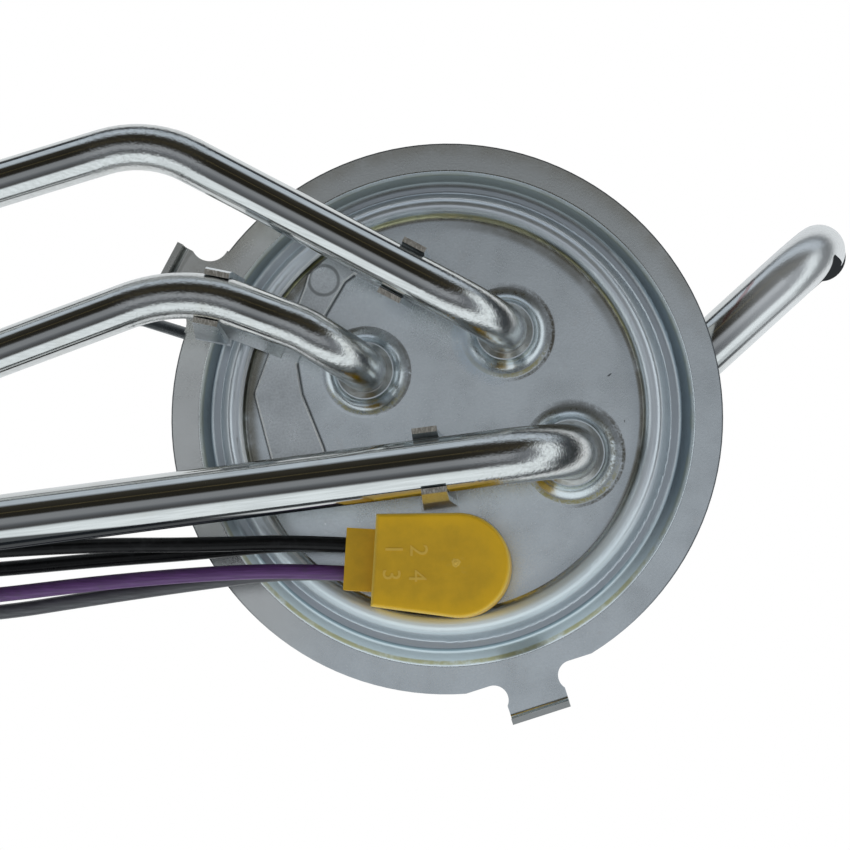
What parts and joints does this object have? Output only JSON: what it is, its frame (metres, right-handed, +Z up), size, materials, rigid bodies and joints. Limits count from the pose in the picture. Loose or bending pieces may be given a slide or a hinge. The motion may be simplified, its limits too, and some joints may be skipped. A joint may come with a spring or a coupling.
{
  "type": "fuel pump hanger",
  "caption": "Fuel pump hanger: pressed steel cover plate with brazed supply, return and vent tubes, right-angle connector with leads, pump bracket and float-arm level sender.",
  "frame": {"origin": "Centre of the cover plate, on the upper face of its flat outer ring.", "axes": "+Z up, out of the tank; +Y away from the leads in plan, across the three tubes; +X away from the tubes' open ends."},
  "size_m": [0.2215, 0.1033, 0.2086],
  "materials": {
    "zinc_steel": "stamped, zinc plated and passivated",
    "zinc_tube": "drawn tube, zinc plated, bright",
    "braze": "brazed",
    "ochre_plastic": "moulded, satin",
    "port_plastic": "moulded, satin",
    "black_insulation": "extruded, semi-gloss",
    "purple_insulation": "extruded, semi-gloss",
    "grey_insulation": "extruded, semi-gloss",
    "rubber": "moulded, matt",
    "tin_brass": "tin plated",
    "sender_plastic": "moulded, satin",
    "ceramic": "fired, with printed tracks",
    "steel": "zinc plated",
    "steel_wire": "drawn wire, zinc plated",
    "float_foam": "closed-cell foam, matt"
  },
  "bodies": {
    "hanger": {"cover_plate": "zinc_steel", "return_tube": "zinc_tube", "vent_tube": "zinc_tube", "supply_tube": "zinc_tube", "braze_fillets": "braze", "tube_bracket": "zinc_steel", "port_body": "port_plastic", "port_seal": "rubber", "port_retainer": "zinc_steel", "port_pins": "tin_brass", "connector_body": "ochre_plastic", "connector_contacts": "tin_brass", "lead_black_upper": "black_insulation", "lead_black_lower": "black_insulation", "lead_purple": "purple_insulation", "lead_grey": "grey_insulation", "harness_seal": "rubber", "harness_plug": "port_plastic", "hanger_bracket": "zinc_steel", "pump_seat": "rubber", "sender_case": "sender_plastic", "sender_lid": "sender_plastic", "sender_rivets": "steel", "sender_terminals": "tin_brass", "resistor_card": "ceramic"},
    "float_lever": {"wiper": "tin_brass", "float_arm": "steel_wire", "float": "float_foam", "float_retainers": "steel"}
  },
  "joints": [
    {"name": "float_arm_swing", "type": "hinge", "parent": "hanger", "child": "float_lever", "pos_m": [-0.0234, 0.0112, -0.06], "axis": [0.342, 0.9397, 0], "range_deg": [0, 50]}
  ]
}
